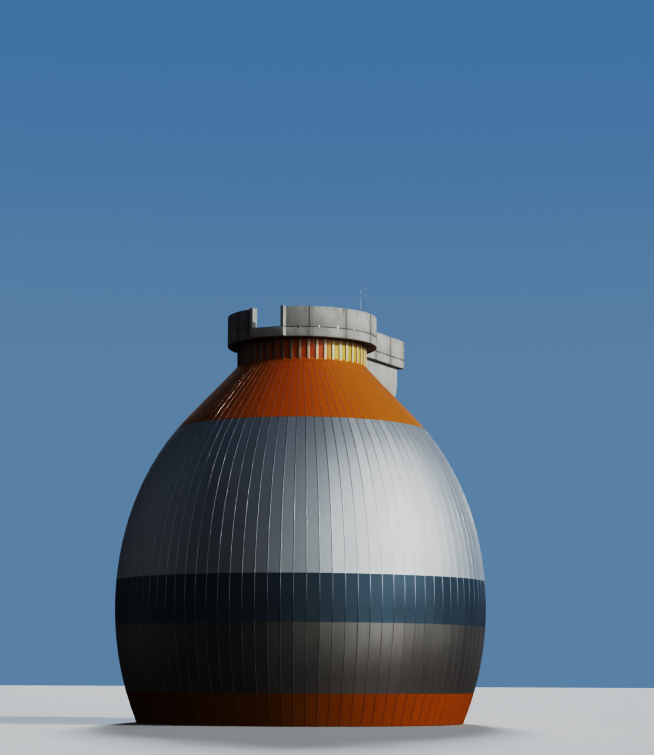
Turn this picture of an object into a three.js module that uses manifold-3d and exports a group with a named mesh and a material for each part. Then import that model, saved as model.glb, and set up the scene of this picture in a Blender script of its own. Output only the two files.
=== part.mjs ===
// Egg-shaped digester from ground level up. A concrete egg wears insulated cladding in colour bands, a
// ribbed neck carries a round concrete head with a parapet, a short landing leaves the head on one side
// and a platform on a tapering console on the other.
// Millimetres, +Z up. The origin is on the egg's axis at ground level, -Y is the landing side and +Y the
// platform side. Angles are in degrees, counted from -Y towards +X.
import * as THREE from "three";
import { mergeVertices } from "three/addons/utils/BufferGeometryUtils.js";
import Module from "manifold-3d";

// Egg: an ellipse of revolution up to CONE_START_Z, then its tangent cone up to the neck
const EGG_RADIUS = 11000;
const EGG_HALF_HEIGHT = 14250;
const EGG_CENTRE_Z = 6930;
const CONE_START_Z = 18000;
const NECK_RADIUS = 3920;

// Cladding: flat upright strips, and the height where each colour band ends
const STRIPS = 96;
const FIRST_SEAM = 1.875;
const CLADDING = 180;
const BASE_BOTTOM_Z = 30;
const BASE_TOP_Z = 1800;
const LOWER_TOP_Z = 5650;
const BLUE_TOP_Z = 8320;
const BODY_TOP_Z = 17330;
const SHEET_JOINTS_Z = [3700, 13400, 15400];

// Concrete egg
const SHELL = 450;
const SHELL_SIDES = 48;
const SHELL_JOINT_Z = 11324;
const FLOOR_THICKNESS = 400;

// Neck
const NECK_RIBS = 48;
const RIB_WIDTH = 165;
const RIB_DEPTH = 60;

// Head, landing and platform share one section: a fascia with a parapet on it
const HEAD_RADIUS = 4510;
const FASCIA_BOTTOM_Z = 22450;
const DECK_TOP_Z = 23010;
const PARAPET_TOP_Z = 24230;
const DECK_THICKNESS = 410;
const FASCIA_THICKNESS = 300;
const PARAPET_THICKNESS = 180;
const SOFFIT_THICKNESS = 40;
const SOFFIT_INSET = 40;
const PANEL_JOINT = 25;
const PANEL_SEAMS = [31.3, 61.3, 91.3, 121.3];

const LANDING_HALF_WIDTH = 1100;
const LANDING_END_Y = -4720;

const PLATFORM_HALF_WIDTH = 2110;
const PLATFORM_END_Y = 10600;
const PLATFORM_PANELS = 3;
const BRIDGE_HALF_WIDTH = 1100;

// Console: its outer edge drops, then slants in to the egg
const CONSOLE_HALF_WIDTH = 1840;
const CONSOLE_OUTLINE = [
  [10050, 21300],
  [9200, 18970],
  [8470, 16130],
];

// Lightning rods: distance from the axis, angle and height of the tip
const ROD_RADIUS = 20;
const RODS = [
  { name: "lightning_rod_centre", distance: 0, angle: 0, top: 25700 },
  { name: "lightning_rod_tall", distance: 4290, angle: 80, top: 26100 },
  { name: "lightning_rod_short", distance: 4290, angle: 87, top: 25800 },
];

// Running gap between neighbours, and how far a cutting body runs past what it cuts
const GAP = 0.3;
const CUT_REACH = 100;

const wasm = await Module();
wasm.setup();

function material(color, roughness, metalness) {
  return new THREE.MeshStandardMaterial({ color, roughness, metalness });
}

const MATERIALS = {
  concrete: material(0xb4b3a9, 0.9, 0),
  structure: material(0x9b9a92, 0.92, 0),
  silver: material(0xc3c8ca, 0.4, 0.9),
  aluminium: material(0x8f8d89, 0.5, 0.9),
  orange: material(0xc8650f, 0.5, 0.1),
  blue: material(0x2f6285, 0.45, 0.2),
  soffit: material(0x6b2b12, 0.6, 0),
  steel: material(0xc9cbcc, 0.45, 0.9),
};

// A closed geometry as a solid, and back
function solidOf(geometry) {
  const bare = geometry.clone();
  bare.deleteAttribute("normal");
  bare.deleteAttribute("uv");
  const merged = mergeVertices(bare, 1e-3);
  return new wasm.Manifold(
    new wasm.Mesh({
      numProp: 3,
      vertProperties: merged.attributes.position.array,
      triVerts: new Uint32Array(merged.index.array),
    }),
  );
}

function geometryOf(solid) {
  const { vertProperties, triVerts } = solid.getMesh();
  const geometry = new THREE.BufferGeometry();
  geometry.setAttribute("position", new THREE.BufferAttribute(vertProperties, 3));
  geometry.setIndex(new THREE.BufferAttribute(triVerts, 1));
  const flat = geometry.toNonIndexed();
  flat.computeVertexNormals();
  return flat;
}

// Basic shapes, upright
function lathe(profile, sides) {
  const points = profile.map(([radius, z]) => new THREE.Vector2(radius, z));
  const start = THREE.MathUtils.degToRad(FIRST_SEAM);
  const geometry = new THREE.LatheGeometry(points, sides, start);
  return geometry.rotateX(Math.PI / 2);
}

function drum(radius, bottom, top, sides = STRIPS) {
  const profile = [
    [0, bottom],
    [radius, bottom],
    [radius, top],
    [0, top],
  ];
  return lathe(profile, sides);
}

function box(x0, x1, y0, y1, z0, z1) {
  const geometry = new THREE.BoxGeometry(x1 - x0, y1 - y0, z1 - z0);
  return geometry.translate((x0 + x1) / 2, (y0 + y1) / 2, (z0 + z1) / 2);
}

function extrude(shape, bottom, top) {
  const settings = { depth: top - bottom, bevelEnabled: false };
  return new THREE.ExtrudeGeometry(shape, settings).translate(0, 0, bottom);
}

// The egg's outer radius at a height
function eggRadius(z) {
  const ellipse = (h) =>
    EGG_RADIUS * Math.sqrt(1 - ((h - EGG_CENTRE_Z) / EGG_HALF_HEIGHT) ** 2);
  if (z <= CONE_START_Z) return ellipse(z);
  const startRadius = ellipse(CONE_START_Z);
  const slope =
    ((EGG_RADIUS / EGG_HALF_HEIGHT) ** 2 * (CONE_START_Z - EGG_CENTRE_Z)) / startRadius;
  return startRadius - slope * (z - CONE_START_Z);
}

// Height at which the cone reaches the neck
function coneTop() {
  const fall = eggRadius(CONE_START_Z) - eggRadius(CONE_START_Z + 1);
  return CONE_START_Z + (eggRadius(CONE_START_Z) - NECK_RADIUS) / fall;
}

const NECK_BOTTOM_Z = coneTop();
const SOFFIT_BOTTOM_Z = FASCIA_BOTTOM_Z - SOFFIT_THICKNESS;
const DECK_BOTTOM_Z = DECK_TOP_Z - DECK_THICKNESS;
const SHELL_OUTER = NECK_RADIUS - CLADDING;

// Heights of the egg's cross joints, shared by the concrete and the cladding so that they lie parallel
const LEVELS = [
  0,
  BASE_TOP_Z,
  LOWER_TOP_Z,
  EGG_CENTRE_Z,
  BLUE_TOP_Z,
  SHELL_JOINT_Z,
  BODY_TOP_Z,
  CONE_START_Z,
  NECK_BOTTOM_Z,
  ...SHEET_JOINTS_Z,
].sort((a, b) => a - b);

function levelsBetween(bottom, top) {
  const inside = LEVELS.filter((z) => z > bottom && z < top);
  return [bottom, ...inside, top];
}

// Radius of the faceted egg at any height, straight between two levels
function facetRadius(z) {
  const upper = LEVELS.findIndex((level) => level > 0 && level >= z);
  const [low, high] = [LEVELS[upper - 1], LEVELS[upper]];
  const share = (z - low) / (high - low);
  return eggRadius(low) + share * (eggRadius(high) - eggRadius(low));
}

function eggSlice(inset, bottom, top, sides) {
  const edge = levelsBetween(bottom, top).map((z) => [facetRadius(z) - inset, z]);
  return lathe([[0, bottom], ...edge, [0, top]], sides);
}

// A ring of the egg between two depths below its surface
function eggRing(outerInset, innerInset, bottom, top, outerSides, innerSides) {
  const outer = solidOf(eggSlice(outerInset, bottom, top, outerSides));
  const inner = levelsBetween(bottom, top).map((z) => [facetRadius(z) - innerInset, z]);
  const first = inner[0];
  const last = inner[inner.length - 1];
  const core = [
    [0, bottom - CUT_REACH],
    [first[0], bottom - CUT_REACH],
    ...inner,
    [last[0], top + CUT_REACH],
    [0, top + CUT_REACH],
  ];
  return outer.subtract(solidOf(lathe(core, innerSides)));
}

function claddingRing(bottom, top) {
  return eggRing(0, CLADDING - GAP, bottom, top, STRIPS, SHELL_SIDES);
}

function shellRing(bottom, top) {
  const innerInset = CLADDING + SHELL;
  return eggRing(CLADDING, innerInset, bottom, top, SHELL_SIDES, SHELL_SIDES);
}

// Console prism, grown all round for the opening that it passes through
function consolePrism(grow) {
  const shape = new THREE.Shape();
  const outline = CONSOLE_OUTLINE.map(([y, z]) => [y + grow, z]);
  const [topY] = outline[0];
  const tip = outline[outline.length - 1];
  shape.moveTo(0, DECK_BOTTOM_Z);
  shape.lineTo(topY, DECK_BOTTOM_Z);
  outline.slice(0, -1).forEach(([y, z]) => shape.lineTo(y, z));
  shape.lineTo(tip[0], tip[1] - grow);
  shape.lineTo(0, tip[1] - grow);
  const halfWidth = CONSOLE_HALF_WIDTH + grow;
  const prism = extrude(shape, -halfWidth, halfWidth);
  prism.applyMatrix4(
    new THREE.Matrix4().makeBasis(
      new THREE.Vector3(0, 1, 0),
      new THREE.Vector3(0, 0, 1),
      new THREE.Vector3(1, 0, 0),
    ),
  );
  return solidOf(prism);
}

function consoleBlock() {
  const tipZ = CONSOLE_OUTLINE[CONSOLE_OUTLINE.length - 1][1];
  const inset = CLADDING - GAP;
  const egg = solidOf(eggSlice(inset, tipZ - CUT_REACH, NECK_BOTTOM_Z, SHELL_SIDES));
  const neck = solidOf(
    drum(SHELL_OUTER + GAP, NECK_BOTTOM_Z - CUT_REACH, DECK_TOP_Z, SHELL_SIDES),
  );
  const head = solidOf(drum(HEAD_RADIUS + GAP, SOFFIT_BOTTOM_Z - GAP, DECK_TOP_Z));
  return consolePrism(0).subtract(egg).subtract(neck).subtract(head);
}

// Neck cladding: a round sheet with raised upright ribs
function neckCladding() {
  const shape = new THREE.Shape();
  const hollow = new THREE.Path();
  const step = 360 / NECK_RIBS;
  const half = THREE.MathUtils.radToDeg(RIB_WIDTH / 2 / NECK_RADIUS);
  const at = (radius, angle) => {
    const turn = THREE.MathUtils.degToRad(angle);
    return [radius * Math.sin(turn), -radius * Math.cos(turn)];
  };
  const wall = NECK_RADIUS - RIB_DEPTH;
  for (let i = 0; i < NECK_RIBS; i++) {
    const middle = FIRST_SEAM + i * step;
    const corners = [
      at(wall, middle - half),
      at(NECK_RADIUS, middle - half),
      at(NECK_RADIUS, middle + half),
      at(wall, middle + half),
    ];
    corners.forEach(([x, y], corner) => {
      if (i === 0 && corner === 0) shape.moveTo(x, y);
      else shape.lineTo(x, y);
    });
    const [x, y] = at(SHELL_OUTER + GAP, middle);
    if (i === 0) hollow.moveTo(x, y);
    else hollow.lineTo(x, y);
  }
  shape.closePath();
  hollow.closePath();
  shape.holes.push(hollow);
  return solidOf(extrude(shape, NECK_BOTTOM_Z, SOFFIT_BOTTOM_Z));
}

// An upright wedge from the axis outwards between two angles, to cut a panel from a ring
function wedge(from, to, bottom, top) {
  const reach = 1.2 * HEAD_RADIUS;
  const shape = new THREE.Shape();
  shape.moveTo(0, 0);
  for (const angle of [from, to]) {
    const turn = THREE.MathUtils.degToRad(angle);
    shape.lineTo(reach * Math.sin(turn), -reach * Math.cos(turn));
  }
  shape.closePath();
  return solidOf(extrude(shape, bottom, top));
}

const group = new THREE.Group();
const headCut = solidOf(
  drum(HEAD_RADIUS + GAP, FASCIA_BOTTOM_Z - CUT_REACH, PARAPET_TOP_Z + CUT_REACH),
);

function add(name, geometry, look) {
  const mesh = new THREE.Mesh(geometry, MATERIALS[look]);
  mesh.name = name;
  group.add(mesh);
}

// A straight block outside the head, cut where it meets the head's round side
function addOutside(name, geometry) {
  add(name, geometryOf(solidOf(geometry).subtract(headCut)), "concrete");
}

function addShell() {
  add("shell_lower", geometryOf(shellRing(0, LOWER_TOP_Z)), "structure");
  add("shell_middle", geometryOf(shellRing(LOWER_TOP_Z, SHELL_JOINT_Z)), "structure");
  add("shell_upper", geometryOf(shellRing(SHELL_JOINT_Z, BODY_TOP_Z)), "structure");
  add("shell_crown", geometryOf(shellRing(BODY_TOP_Z, NECK_BOTTOM_Z)), "structure");
  const floorRadius = eggRadius(0) - CLADDING - SHELL - GAP;
  add("tank_floor", drum(floorRadius, 0, FLOOR_THICKNESS, SHELL_SIDES), "structure");
  const neckWall = lathe(
    [
      [SHELL_OUTER - SHELL, NECK_BOTTOM_Z],
      [SHELL_OUTER, NECK_BOTTOM_Z],
      [SHELL_OUTER, DECK_BOTTOM_Z],
      [SHELL_OUTER - SHELL, DECK_BOTTOM_Z],
      [SHELL_OUTER - SHELL, NECK_BOTTOM_Z],
    ],
    SHELL_SIDES,
  );
  add("neck_wall", neckWall, "structure");
}

function addCladding() {
  const opening = consolePrism(GAP);
  const bands = [
    ["base_cladding", BASE_BOTTOM_Z, BASE_TOP_Z, "orange"],
    ["lower_cladding", BASE_TOP_Z, LOWER_TOP_Z, "aluminium"],
    ["blue_cladding", LOWER_TOP_Z, BLUE_TOP_Z, "blue"],
    ["body_cladding", BLUE_TOP_Z, BODY_TOP_Z, "silver"],
    ["cone_cladding", BODY_TOP_Z, NECK_BOTTOM_Z, "orange"],
  ];
  for (const [name, bottom, top, look] of bands) {
    add(name, geometryOf(claddingRing(bottom, top).subtract(opening)), look);
  }
  add("neck_cladding", geometryOf(neckCladding().subtract(opening)), "orange");
}

function addHead() {
  const fasciaInner = HEAD_RADIUS - FASCIA_THICKNESS;
  add("head_deck", drum(fasciaInner - GAP, DECK_BOTTOM_Z, DECK_TOP_Z), "structure");
  const fascia = lathe(
    [
      [fasciaInner, FASCIA_BOTTOM_Z],
      [HEAD_RADIUS, FASCIA_BOTTOM_Z],
      [HEAD_RADIUS, DECK_TOP_Z],
      [fasciaInner, DECK_TOP_Z],
      [fasciaInner, FASCIA_BOTTOM_Z],
    ],
    STRIPS,
  );
  add("head_fascia", fascia, "concrete");
  const soffitRing = lathe(
    [
      [SHELL_OUTER + GAP, SOFFIT_BOTTOM_Z],
      [HEAD_RADIUS - SOFFIT_INSET, SOFFIT_BOTTOM_Z],
      [HEAD_RADIUS - SOFFIT_INSET, FASCIA_BOTTOM_Z],
      [SHELL_OUTER + GAP, FASCIA_BOTTOM_Z],
      [SHELL_OUTER + GAP, SOFFIT_BOTTOM_Z],
    ],
    SHELL_SIDES,
  );
  add("head_soffit", soffitRing, "soffit");
}

// Parapet panels of the head, from the landing round to the platform on both sides
function addHeadParapet() {
  const landingInner = LANDING_HALF_WIDTH - PARAPET_THICKNESS;
  const platformInner = PLATFORM_HALF_WIDTH - PARAPET_THICKNESS;
  const first = THREE.MathUtils.radToDeg(Math.asin(landingInner / HEAD_RADIUS));
  const last = 180 - THREE.MathUtils.radToDeg(Math.asin(platformInner / HEAD_RADIUS));
  const seams = [first, ...PANEL_SEAMS, last];
  const trim = THREE.MathUtils.radToDeg(PANEL_JOINT / 2 / HEAD_RADIUS);
  const cut = [DECK_TOP_Z - CUT_REACH, PARAPET_TOP_Z + CUT_REACH];
  const inside = solidOf(drum(HEAD_RADIUS - PARAPET_THICKNESS, ...cut));
  const ring = solidOf(drum(HEAD_RADIUS, DECK_TOP_Z, PARAPET_TOP_Z)).subtract(inside);
  const panel = (from, to) => geometryOf(ring.intersect(wedge(from, to, ...cut)));
  for (let i = 0; i + 1 < seams.length; i++) {
    const from = seams[i] + (i > 0 ? trim : 0);
    const to = seams[i + 1] - (i + 2 < seams.length ? trim : 0);
    add(`head_parapet_east_${i + 1}`, panel(from, to), "concrete");
    add(`head_parapet_west_${i + 1}`, panel(-to, -from), "concrete");
  }
}

function addLanding() {
  const half = LANDING_HALF_WIDTH;
  const inner = half - PARAPET_THICKNESS;
  const nib = box(-half, half, LANDING_END_Y, 0, FASCIA_BOTTOM_Z, DECK_TOP_Z);
  addOutside("landing_nib", nib);
  const east = box(inner, half, LANDING_END_Y, 0, DECK_TOP_Z, PARAPET_TOP_Z);
  const west = box(-half, -inner, LANDING_END_Y, 0, DECK_TOP_Z, PARAPET_TOP_Z);
  addOutside("landing_cheek_east", east);
  addOutside("landing_cheek_west", west);
}

function addPlatform() {
  const half = PLATFORM_HALF_WIDTH;
  const inner = half - PARAPET_THICKNESS;
  const endInner = PLATFORM_END_Y - PARAPET_THICKNESS;
  const deck = box(-inner + GAP, inner - GAP, 0, endInner - GAP, DECK_BOTTOM_Z, DECK_TOP_Z);
  addOutside("platform_deck", deck);
  const fasciaEast = box(inner, half, 0, PLATFORM_END_Y, FASCIA_BOTTOM_Z, DECK_TOP_Z);
  const fasciaWest = box(-half, -inner, 0, PLATFORM_END_Y, FASCIA_BOTTOM_Z, DECK_TOP_Z);
  addOutside("platform_fascia_east", fasciaEast);
  addOutside("platform_fascia_west", fasciaWest);
  const reach = inner - GAP;
  const fasciaEnd = box(-reach, reach, endInner, PLATFORM_END_Y, FASCIA_BOTTOM_Z, DECK_TOP_Z);
  add("platform_fascia_end", fasciaEnd, "concrete");

  const start = Math.sqrt(HEAD_RADIUS ** 2 - half ** 2);
  const length = (PLATFORM_END_Y - start) / PLATFORM_PANELS;
  for (let i = 0; i < PLATFORM_PANELS; i++) {
    const from = start + i * length + (i > 0 ? PANEL_JOINT / 2 : -CUT_REACH);
    const to = start + (i + 1) * length - (i + 1 < PLATFORM_PANELS ? PANEL_JOINT / 2 : 0);
    const east = box(inner, half, from, to, DECK_TOP_Z, PARAPET_TOP_Z);
    const west = box(-half, -inner, from, to, DECK_TOP_Z, PARAPET_TOP_Z);
    addOutside(`platform_parapet_east_${i + 1}`, east);
    addOutside(`platform_parapet_west_${i + 1}`, west);
  }
  const cheek = [endInner, PLATFORM_END_Y, DECK_TOP_Z, PARAPET_TOP_Z];
  add("platform_cheek_east", box(BRIDGE_HALF_WIDTH, reach, ...cheek), "concrete");
  add("platform_cheek_west", box(-reach, -BRIDGE_HALF_WIDTH, ...cheek), "concrete");
  add("console", geometryOf(consoleBlock()), "concrete");
}

function addRods() {
  for (const rod of RODS) {
    const turn = THREE.MathUtils.degToRad(rod.angle);
    const x = rod.distance * Math.sin(turn);
    const y = -rod.distance * Math.cos(turn);
    const bar = new THREE.CylinderGeometry(ROD_RADIUS, ROD_RADIUS, rod.top - DECK_TOP_Z, 12);
    bar.rotateX(Math.PI / 2);
    bar.translate(x, y, (rod.top + DECK_TOP_Z) / 2);
    add(rod.name, bar, "steel");
  }
}

addShell();
addCladding();
addHead();
addHeadParapet();
addLanding();
addPlatform();
addRods();

export default group;
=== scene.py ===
import math
import bpy
from mathutils import Matrix, Vector


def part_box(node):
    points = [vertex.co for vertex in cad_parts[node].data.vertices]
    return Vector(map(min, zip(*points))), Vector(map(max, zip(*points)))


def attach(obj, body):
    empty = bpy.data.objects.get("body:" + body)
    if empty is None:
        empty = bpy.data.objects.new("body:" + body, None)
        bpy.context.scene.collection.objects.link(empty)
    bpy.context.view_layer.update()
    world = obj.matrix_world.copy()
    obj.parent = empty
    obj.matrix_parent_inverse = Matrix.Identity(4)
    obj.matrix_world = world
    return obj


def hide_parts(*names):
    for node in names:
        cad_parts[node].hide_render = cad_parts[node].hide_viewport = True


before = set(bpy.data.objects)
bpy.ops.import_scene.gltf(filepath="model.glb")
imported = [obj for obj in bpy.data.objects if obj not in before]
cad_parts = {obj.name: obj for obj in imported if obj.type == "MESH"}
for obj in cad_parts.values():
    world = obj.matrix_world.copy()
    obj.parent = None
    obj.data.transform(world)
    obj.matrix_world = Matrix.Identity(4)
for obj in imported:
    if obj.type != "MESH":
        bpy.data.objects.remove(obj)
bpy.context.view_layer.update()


# Camera: it stands low and far off, to the right of the landing, and looks slightly upwards through
# a long lens. Its place and turns were fitted to the band edges, outlines and strip seams.
CAMERA_PLACE = (56.105, -112.716, 2.53)
CAMERA_YAW, CAMERA_PITCH, CAMERA_ROLL = 25.775, 8.186, 0.242
CAMERA_LENS = 100.28
CAMERA_REACH = 1500.0

bpy.ops.object.camera_add()
camera = bpy.context.object
camera.data.lens = CAMERA_LENS
camera.data.clip_end = CAMERA_REACH
camera.matrix_world = (
    Matrix.Translation(CAMERA_PLACE)
    @ Matrix.Rotation(math.radians(CAMERA_YAW), 4, "Z")
    @ Matrix.Rotation(math.radians(90 + CAMERA_PITCH), 4, "X")
    @ Matrix.Rotation(math.radians(CAMERA_ROLL), 4, "Z")
)
bpy.context.scene.camera = camera


# Light: a low key lamp on the right as in the photograph with a broad soft one beside it, a lamp
# behind, a weak wide one on the far left, and a cool studio that is dark on the left and blue at the
# right and the back. Angles are counted from -Y towards +X.
KEY_ANGLE, KEY_HEIGHT, KEY_POWER, KEY_SPREAD = 95.8, 24.0, 2.75, 3.0
SOFT_ANGLE, SOFT_HEIGHT, SOFT_POWER, SOFT_SPREAD = 64.0, 8.0, 1.48, 48.0
BACK_ANGLE, BACK_HEIGHT, BACK_POWER, BACK_SPREAD = -154.0, 27.0, 2.5, 10.0
SIDE_ANGLE, SIDE_HEIGHT, SIDE_POWER, SIDE_SPREAD = -80.0, 15.0, 0.18, 60.0
STUDIO_ANGLE, STUDIO_HEIGHT = 141.0, 0.0
STUDIO_BLUE_FROM, STUDIO_BLUE_FULL = 0.5, 0.7
STUDIO_TOP_FADE = (0.20, 0.75)
STUDIO_HORIZON_FADE = (-0.08, 0.0)
KEY_COLOUR = (1.0, 0.975, 0.93)
SOFT_COLOUR = (0.96, 1.0, 0.99)
FILL_COLOUR = (0.86, 0.93, 1.0)
STUDIO_DARK = (0.008, 0.010, 0.015, 1.0)
STUDIO_MIDDLE = (0.013, 0.021, 0.036, 1.0)
STUDIO_BLUE = (0.133, 0.208, 0.325, 1.0)
STUDIO_BRIGHT = (0.165, 0.27, 0.41, 1.0)
STUDIO_TOP = (0.020, 0.046, 0.100, 1.0)
STUDIO_LOW = (0.036, 0.031, 0.026, 1.0)


class Field:
    """A number, colour or vector that varies over a surface: one output of a shader node."""

    def __init__(self, tree, socket=None):
        self.tree = tree
        self.socket = socket

    def node(self, kind, settings=None, inputs=None, output=0):
        made = self.tree.nodes.new("ShaderNode" + kind)
        for name, value in (settings or {}).items():
            if name == "stops":
                ramp = made.color_ramp
                for element, (position, colour) in zip(ramp.elements, value):
                    element.position = position
                    element.color = colour
                for position, colour in value[2:]:
                    ramp.elements.new(position).color = colour
            else:
                setattr(made, name, value)
        for name, value in (inputs or {}).items():
            if isinstance(value, Field):
                self.tree.links.new(value.socket, made.inputs[name])
            else:
                made.inputs[name].default_value = value
        return Field(self.tree, made.outputs[output])

    def math(self, operation, *values):
        return self.node("Math", {"operation": operation}, dict(enumerate(values)))

    def __add__(self, other):
        return self.math("ADD", self, other)

    def __sub__(self, other):
        return self.math("SUBTRACT", self, other)

    def __rsub__(self, other):
        return self.math("SUBTRACT", other, self)

    def __mul__(self, other):
        return self.math("MULTIPLY", self, other)

    def __mod__(self, other):
        return self.math("FLOORED_MODULO", self, other)

    def __abs__(self):
        return self.math("ABSOLUTE", self)

    __radd__ = __add__
    __rmul__ = __mul__

    def part(self, axis):
        return self.node("SeparateXYZ", inputs={0: self}, output="XYZ".index(axis))

    def scaled(self, factors):
        return self.node("VectorMath", {"operation": "MULTIPLY"}, {0: self, 1: factors})

    def noise(self, scale, detail=2.0, roughness=0.5):
        sockets = {"Vector": self, "Scale": scale, "Detail": detail, "Roughness": roughness}
        return self.node("TexNoise", inputs=sockets)

    def rise(self, start, end):
        settings = {"interpolation_type": "SMOOTHSTEP"}
        return self.node("MapRange", settings, {0: self, 1: start, 2: end})

    def mix(self, first, second):
        return self.node("Mix", {"data_type": "RGBA"}, {0: self, 6: first, 7: second}, output=2)


def direction(angle, height):
    turn, lift = math.radians(angle), math.radians(height)
    flat = math.cos(lift)
    return Vector((math.sin(turn) * flat, -math.cos(turn) * flat, math.sin(lift)))


def add_lamp(angle, height, power, spread, colour):
    towards = direction(angle, height)
    bpy.ops.object.light_add(type="SUN", rotation=towards.to_track_quat("Z", "Y").to_euler())
    lamp = bpy.context.object.data
    lamp.energy = power
    lamp.angle = math.radians(spread)
    lamp.color = colour


add_lamp(KEY_ANGLE, KEY_HEIGHT, KEY_POWER, KEY_SPREAD, KEY_COLOUR)
add_lamp(SOFT_ANGLE, SOFT_HEIGHT, SOFT_POWER, SOFT_SPREAD, SOFT_COLOUR)
add_lamp(BACK_ANGLE, BACK_HEIGHT, BACK_POWER, BACK_SPREAD, FILL_COLOUR)
add_lamp(SIDE_ANGLE, SIDE_HEIGHT, SIDE_POWER, SIDE_SPREAD, FILL_COLOUR)

studio = bpy.data.worlds.new("studio")
bpy.context.scene.world = studio
studio.use_nodes = True
view_line = Field(studio.node_tree).node("TexCoord", output="Generated")
towards_blue = view_line.node(
    "VectorMath",
    {"operation": "DOT_PRODUCT"},
    {0: view_line, 1: direction(STUDIO_ANGLE, STUDIO_HEIGHT)},
    output="Value",
)
studio_stops = [
    (0.0, STUDIO_DARK),
    (STUDIO_BLUE_FROM, STUDIO_MIDDLE),
    (STUDIO_BLUE_FULL, STUDIO_BLUE),
    (1.0, STUDIO_BRIGHT),
]
glow = towards_blue.node("ValToRGB", {"stops": studio_stops}, {0: towards_blue * 0.5 + 0.5})
glow = view_line.part("Z").rise(*STUDIO_TOP_FADE).mix(glow, STUDIO_TOP)
glow = view_line.part("Z").rise(*STUDIO_HORIZON_FADE).mix(STUDIO_LOW, glow)
background = studio.node_tree.nodes["Background"]
studio.node_tree.links.new(glow.socket, background.inputs["Color"])

# Film: the picture's tones follow a soft S-curve, as on slide film, with deep shadows and rounded
# highlights. Each pair is a light level and the level it is shown at.
FILM_CURVE = [(0.05, 0.018), (0.09, 0.045), (0.13, 0.092), (0.18, 0.165)]
FILM_CURVE += [(0.26, 0.29), (0.40, 0.47), (0.55, 0.56), (0.75, 0.60)]
FILM_WHITE = 0.65
ALL_COLOURS_CURVE = 3

film = bpy.context.scene.view_settings
film.view_transform = "Standard"
film.use_curve_mapping = True
film.curve_mapping.extend = "HORIZONTAL"
tone_curve = film.curve_mapping.curves[ALL_COLOURS_CURVE]
for level, shown in FILM_CURVE:
    tone_curve.points.new(level, shown)
tone_curve.points[len(FILM_CURVE) + 1].location = (1.0, FILM_WHITE)
film.curve_mapping.update()


# Floor and backdrop: a wide pale matt sheet at ground level and a plain blue dome round it. Neither
# throws light on the object, so that the egg's lower half stays as dark as it is in the photograph.
FLOOR_RADIUS = 700.0
FLOOR_LIGHT = (0.455, 0.45, 0.435, 1.0)
FLOOR_DARK = (0.437, 0.432, 0.418, 1.0)
FLOOR_CLOUD_SCALE = 0.05
BACKDROP_RADIUS = 690.0
BACKDROP_LOW = (0.136, 0.212, 0.318, 1.0)
BACKDROP_HIGH = (0.096, 0.182, 0.312, 1.0)
BACKDROP_FADE = (110.0, 250.0)


def new_finish(name):
    """A material with its shader and the place on the object that its patterns read."""
    material = bpy.data.materials.new(name)
    material.use_nodes = True
    place = Field(material.node_tree).node("TexCoord", output="Object")
    return material, material.node_tree.nodes["Principled BSDF"], place


def feed(shader, **fields):
    for name, field in fields.items():
        field.tree.links.new(field.socket, shader.inputs[name.replace("_", " ")])


def relief(height, distance, **sockets):
    sockets.update(Height=height, Distance=distance, Strength=1.0)
    return height.node("Bump", inputs=sockets)


floor_finish, shader, place = new_finish("floor_sheet")
shader.inputs["Roughness"].default_value = 0.9
feed(shader, Base_Color=place.noise(FLOOR_CLOUD_SCALE).rise(0.3, 0.7).mix(FLOOR_DARK, FLOOR_LIGHT))

bpy.ops.object.select_all(action="DESELECT")
bpy.ops.mesh.primitive_circle_add(vertices=96, radius=FLOOR_RADIUS, fill_type="NGON")
floor = bpy.context.object
floor.name = "floor"
floor.data.materials.append(floor_finish)
floor.visible_diffuse = floor.visible_glossy = False

backdrop_finish, shader, place = new_finish("backdrop_blue")
shader.inputs["Base Color"].default_value = (0, 0, 0, 1)
shader.inputs["Specular IOR Level"].default_value = 0.0
shader.inputs["Emission Strength"].default_value = 1.0
sky_share = place.part("Z").rise(*BACKDROP_FADE)
feed(shader, Emission_Color=sky_share.mix(BACKDROP_LOW, BACKDROP_HIGH))

bpy.ops.object.select_all(action="DESELECT")
bpy.ops.mesh.primitive_uv_sphere_add(segments=64, ring_count=32, radius=BACKDROP_RADIUS)
backdrop = bpy.context.object
backdrop.name = "backdrop"
backdrop.data.materials.append(backdrop_finish)
backdrop.visible_diffuse = backdrop.visible_glossy = backdrop.visible_shadow = False
bpy.ops.object.shade_smooth()


# Concrete egg: four cast lifts, the neck wall and the tank floor, in rough grey structural concrete.
# The cladding hides it except for the slit at the foot, so the modelled solids stay as they are.
ROUGH_LIGHT = (0.36, 0.35, 0.32, 1.0)
ROUGH_DARK = (0.20, 0.19, 0.175, 1.0)


def coat(piece, material):
    """Gives the piece one material, in its slot if it has one."""
    if not piece.material_slots:
        piece.data.materials.append(material)
    for slot in piece.material_slots:
        slot.material = material


rough_concrete, shader, place = new_finish("rough_concrete")
clouds = place.noise(0.6, detail=6.0, roughness=0.6)
boards = place.scaled((4.0, 4.0, 0.3)).noise(1.5, detail=2.0)
feed(
    shader,
    Base_Color=(clouds * 0.6 + boards * 0.4).rise(0.3, 0.7).mix(ROUGH_DARK, ROUGH_LIGHT),
    Roughness=clouds * 0.2 + 0.75,
    Normal=relief(clouds + boards, distance=0.004),
)
for name in ["shell_lower", "shell_middle", "shell_upper", "shell_crown", "tank_floor", "neck_wall"]:
    coat(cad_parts[name], rough_concrete)


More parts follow.
